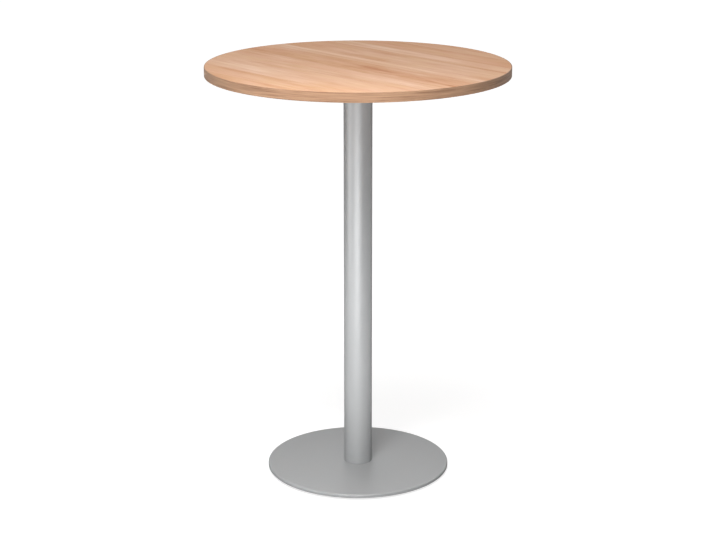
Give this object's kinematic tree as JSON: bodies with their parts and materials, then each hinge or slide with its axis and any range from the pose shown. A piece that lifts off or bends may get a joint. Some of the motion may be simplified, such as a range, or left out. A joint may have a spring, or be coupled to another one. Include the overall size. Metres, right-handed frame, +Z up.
{
  "type": "standing meeting table",
  "caption": "Round standing-height table: wood-decor disc top with edge band on a silver steel column, held by a screwed mounting plate, with a flat round base plate on levelling glides.",
  "frame": {"origin": "on the floor under the middle of the column", "axes": "+Z up along the column; +X to the right and +Y away from the viewer in the picture"},
  "size_m": [0.8, 0.8, 1.12],
  "materials": {
    "decor_board": "chipboard faced with matt wood decor",
    "decor_edge": "ABS edge band printed with wood decor",
    "silver_coat": "silver powder coat on steel, fine satin",
    "zinc_plate": "bright zinc plate on steel",
    "bare_steel": "plain steel, welded in and unseen",
    "glide_plastic": "black moulded polyamide"
  },
  "bodies": {
    "stand": {"tabletop_panel": "decor_board", "edge_band": "decor_edge", "mounting_plate": "silver_coat", "top_screw_1": "zinc_plate", "top_screw_2": "zinc_plate", "top_screw_3": "zinc_plate", "top_screw_4": "zinc_plate", "top_screw_5": "zinc_plate", "top_screw_6": "zinc_plate", "top_screw_7": "zinc_plate", "top_screw_8": "zinc_plate", "plate_bolt_1": "zinc_plate", "plate_bolt_2": "zinc_plate", "plate_bolt_3": "zinc_plate", "plate_bolt_4": "zinc_plate", "column_top_disc": "bare_steel", "column_tube": "silver_coat", "column_foot_disc": "bare_steel", "base_plate": "silver_coat", "base_bolt_1": "zinc_plate", "base_bolt_2": "zinc_plate", "base_bolt_3": "zinc_plate", "base_bolt_4": "zinc_plate"},
    "glide_1_pad": {"glide_pad_1": "glide_plastic"},
    "glide_1_stud": {"glide_stud_1": "zinc_plate"},
    "glide_2_pad": {"glide_pad_2": "glide_plastic"},
    "glide_2_stud": {"glide_stud_2": "zinc_plate"},
    "glide_3_pad": {"glide_pad_3": "glide_plastic"},
    "glide_3_stud": {"glide_stud_3": "zinc_plate"},
    "glide_4_pad": {"glide_pad_4": "glide_plastic"},
    "glide_4_stud": {"glide_stud_4": "zinc_plate"}
  },
  "joints": [
    {"name": "glide_1_height", "type": "slide", "parent": "stand", "child": "glide_1_pad", "axis": [0, 0, -1], "range_m": [0, 0.004]},
    {"name": "glide_1_turn", "type": "hinge", "parent": "glide_1_pad", "child": "glide_1_stud", "pos_m": [0.15203, 0.15203, 0], "axis": [0, 0, -1], "range_deg": [0, 1152]},
    {"name": "glide_2_height", "type": "slide", "parent": "stand", "child": "glide_2_pad", "axis": [0, 0, -1], "range_m": [0, 0.004]},
    {"name": "glide_2_turn", "type": "hinge", "parent": "glide_2_pad", "child": "glide_2_stud", "pos_m": [-0.15203, 0.15203, 0], "axis": [0, 0, -1], "range_deg": [0, 1152]},
    {"name": "glide_3_height", "type": "slide", "parent": "stand", "child": "glide_3_pad", "axis": [0, 0, -1], "range_m": [0, 0.004]},
    {"name": "glide_3_turn", "type": "hinge", "parent": "glide_3_pad", "child": "glide_3_stud", "pos_m": [-0.15203, -0.15203, 0], "axis": [0, 0, -1], "range_deg": [0, 1152]},
    {"name": "glide_4_height", "type": "slide", "parent": "stand", "child": "glide_4_pad", "axis": [0, 0, -1], "range_m": [0, 0.004]},
    {"name": "glide_4_turn", "type": "hinge", "parent": "glide_4_pad", "child": "glide_4_stud", "pos_m": [0.15203, -0.15203, 0], "axis": [0, 0, -1], "range_deg": [0, 1152]}
  ],
  "couplings": [
    {"joint": "glide_1_height", "follows": "glide_1_turn", "m_per_rad": 0.00019894},
    {"joint": "glide_2_height", "follows": "glide_2_turn", "m_per_rad": 0.00019894},
    {"joint": "glide_3_height", "follows": "glide_3_turn", "m_per_rad": 0.00019894},
    {"joint": "glide_4_height", "follows": "glide_4_turn", "m_per_rad": 0.00019894}
  ]
}
